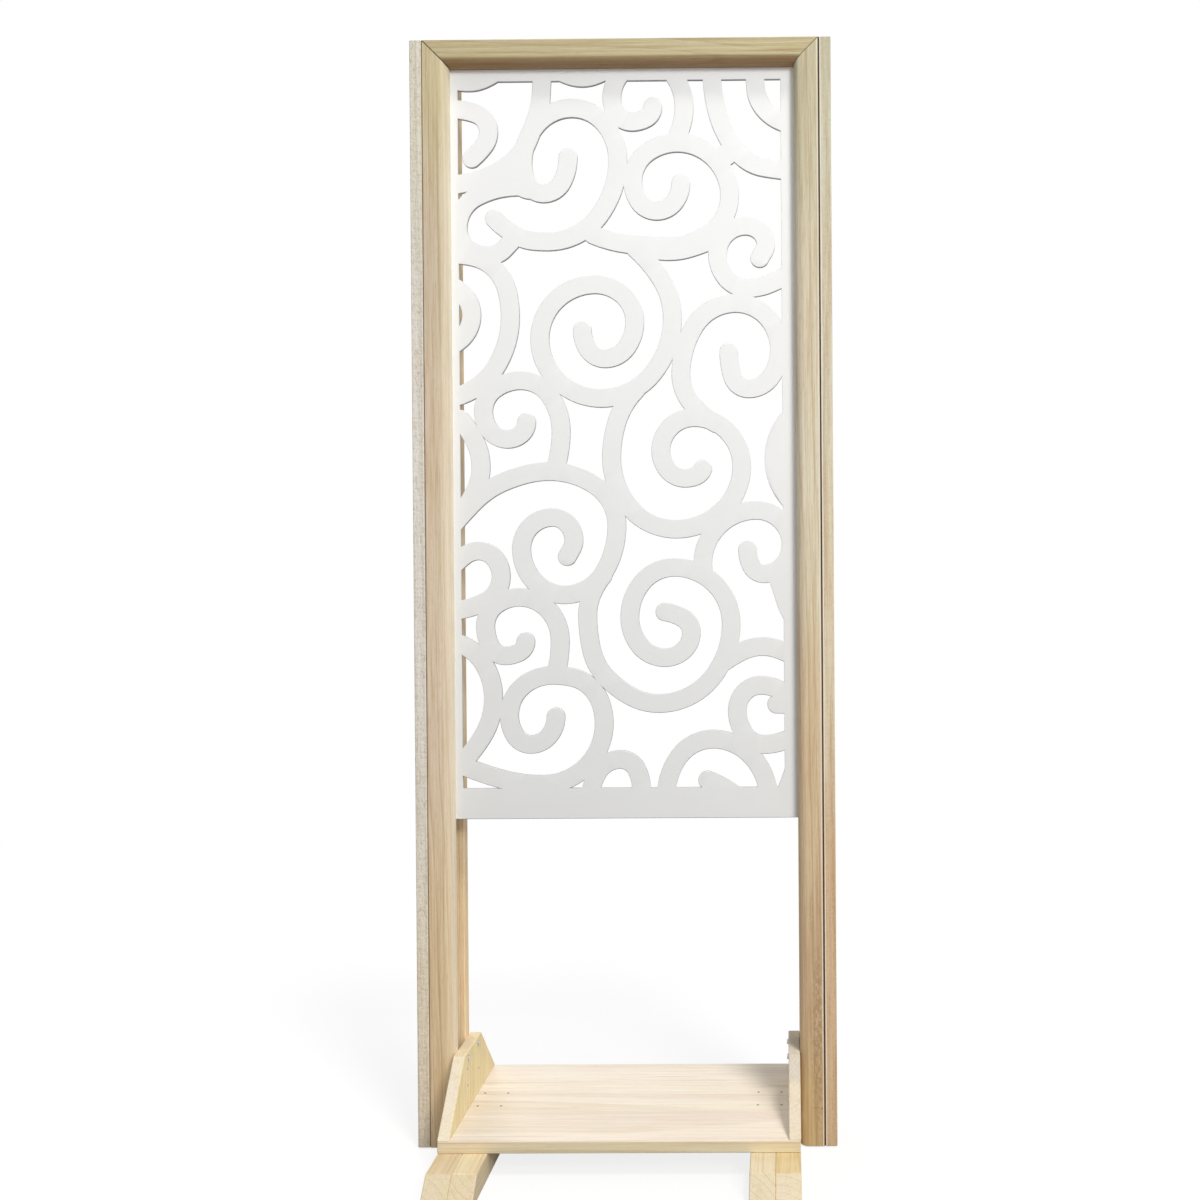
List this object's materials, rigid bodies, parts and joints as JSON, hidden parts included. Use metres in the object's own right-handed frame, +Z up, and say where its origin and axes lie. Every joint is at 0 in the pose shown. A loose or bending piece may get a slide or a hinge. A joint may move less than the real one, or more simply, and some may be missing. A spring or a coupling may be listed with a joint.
{
  "type": "privacy screen",
  "caption": "Free-standing timber privacy screen with a white scroll-cut panel in a moulded frame over a low planter shelf on wide feet.",
  "frame": {"origin": "on the floor, in the middle of the base", "axes": "+X to the right seen from the front, +Y from front to back, +Z up"},
  "size_m": [0.65, 0.435, 1.715],
  "materials": {
    "frame_timber": "bare, rough-sawn edges",
    "moulding_timber": "bare planed softwood",
    "batten_timber": "bare planed softwood",
    "shelf_timber": "bare planed softwood",
    "cheek_timber": "bare planed softwood",
    "foot_timber": "bare planed softwood",
    "panel_white": "satin white",
    "zinc_screw": "bright zinc",
    "nail_steel": "dull bright steel"
  },
  "bodies": {
    "root": {"side_board_left": "frame_timber", "side_board_right": "frame_timber", "front_stile_left": "moulding_timber", "front_stile_right": "moulding_timber", "front_top_rail": "moulding_timber", "back_stile_left": "moulding_timber", "back_stile_right": "moulding_timber", "panel_batten_left": "batten_timber", "panel_batten_right": "batten_timber", "panel_batten_top": "batten_timber", "shelf_front_board": "shelf_timber", "shelf_rear_board": "shelf_timber", "cheek_left": "cheek_timber", "cheek_right": "cheek_timber", "foot_left_outer": "foot_timber", "foot_left_inner": "foot_timber", "foot_right_outer": "foot_timber", "foot_right_inner": "foot_timber", "scroll_panel": "panel_white", "frame_brads": "nail_steel", "mitre_brads": "nail_steel", "panel_screws": "zinc_screw", "cheek_screws": "zinc_screw", "cheek_nails": "nail_steel", "shelf_nails": "nail_steel"}
  },
  "joints": []
}
